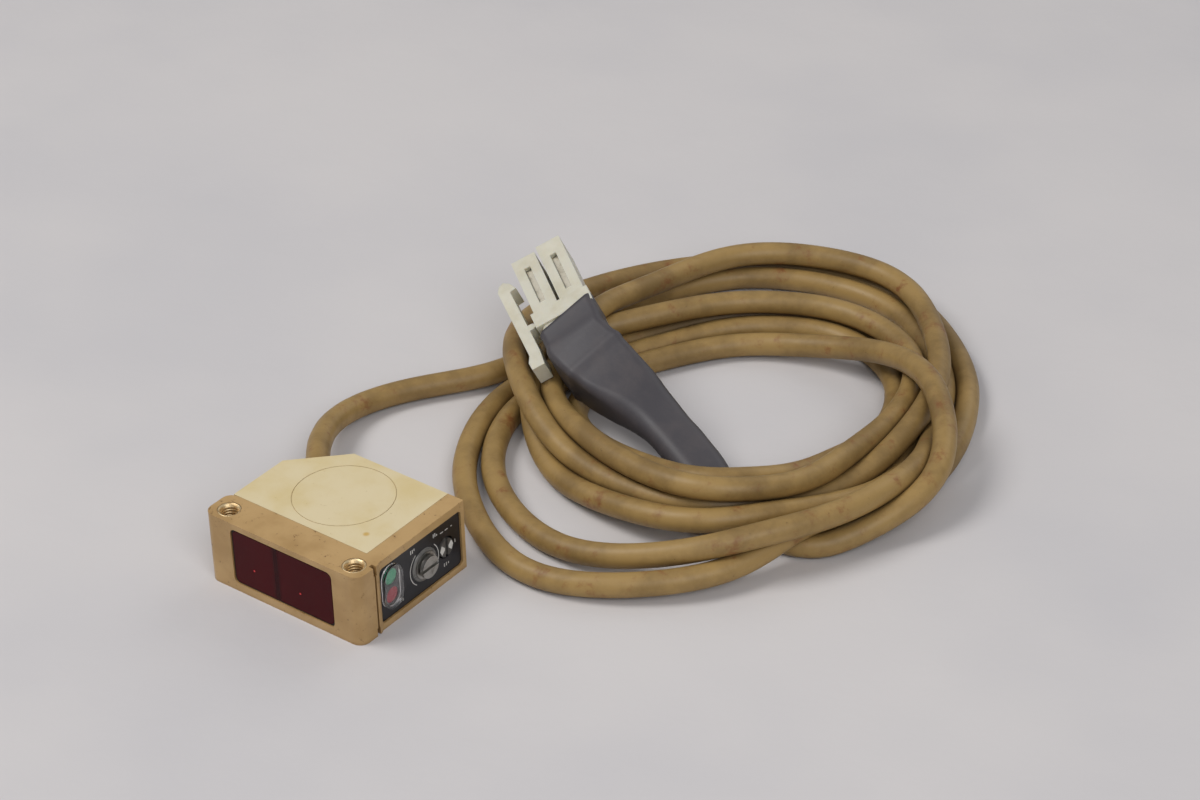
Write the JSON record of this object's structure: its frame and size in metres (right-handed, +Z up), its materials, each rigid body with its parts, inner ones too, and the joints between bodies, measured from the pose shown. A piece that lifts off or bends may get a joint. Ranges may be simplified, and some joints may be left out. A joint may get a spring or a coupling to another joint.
{
  "type": "photoelectric proximity sensor",
  "caption": "Slim rectangular optical proximity sensor with twin lenses behind a filter window, a side control panel, and a coiled cable ending in a latching plug.",
  "frame": {"origin": "centre of the sensor case's box on the surface it lies on, without the cord", "axes": "+X to the control panel, -Y out of the lens window, +Z up through the removable cover; the case lies on its flat side"},
  "size_m": [0.0977, 0.1327, 0.0231],
  "materials": {
    "case_tan": "satin",
    "cover_cream": "satin",
    "insert_metal": "nickel plated",
    "window_red": "polished",
    "seal_rubber": "matte",
    "lens_clear": "polished",
    "optics_black": "matte",
    "led_red": "polished",
    "diode_dark": "polished",
    "board_green": "satin",
    "chip_black": "matte",
    "component_tan": "matte",
    "panel_black": "satin",
    "led_green": "polished",
    "knob_steel": "turned",
    "trimmer_blue": "matte",
    "selector_white": "satin",
    "bush_tan": "satin",
    "terminal_ivory": "satin",
    "wire_brown": "satin",
    "cable_olive": "satin",
    "sleeve_grey": "satin",
    "nylon_ivory": "satin",
    "contact_tin": "tin plated"
  },
  "bodies": {
    "sensor": {"case_body": "case_tan", "side_cover": "cover_cream", "mounting_sleeves": "insert_metal", "filter_window": "window_red", "window_gasket": "seal_rubber", "emitter_lens": "lens_clear", "receiver_lens": "lens_clear", "optics_holder": "optics_black", "light_baffle": "optics_black", "emitter_led": "led_red", "receiver_photodiode": "diode_dark", "main_circuit_board": "board_green", "control_chip": "chip_black", "board_components": "component_tan", "board_header": "chip_black", "panel_circuit_board": "board_green", "control_panel": "panel_black", "panel_gasket": "seal_rubber", "indicator_lens": "lens_clear", "stability_led": "led_green", "output_led": "led_red", "adjuster_seal": "seal_rubber", "trimmer_potentiometer": "trimmer_blue", "selector_seal": "seal_rubber", "mode_switch": "chip_black", "cable_bush": "bush_tan", "cable_clamp": "terminal_ivory", "core_wires": "wire_brown", "wire_terminal": "terminal_ivory", "cable_lead": "cable_olive", "cable_coil": "cable_olive", "shrink_sleeve": "sleeve_grey", "plug_housing": "nylon_ivory", "plug_contacts": "contact_tin"},
    "adjuster": {"adjuster_knob": "knob_steel"},
    "selector": {"mode_selector": "selector_white"},
    "latch": {"plug_latch": "nylon_ivory"}
  },
  "joints": [
    {"name": "sensitivity_turn", "type": "hinge", "parent": "sensor", "child": "adjuster", "pos_m": [0.0155, 0.0032, 0.006], "axis": [1, 0, 0], "range_deg": [-135, 135]},
    {"name": "mode_turn", "type": "hinge", "parent": "sensor", "child": "selector", "pos_m": [0.0145, 0.00835, 0.0062], "axis": [1, 0, 0], "range_deg": [0, 90]},
    {"name": "latch_press", "type": "hinge", "parent": "sensor", "child": "latch", "pos_m": [-0.00554, 0.0575, 0.0129], "axis": [-0.0673, -0.4644, 0.8831], "range_deg": [0, 5], "stiffness_Nm_per_rad": 0.02}
  ]
}
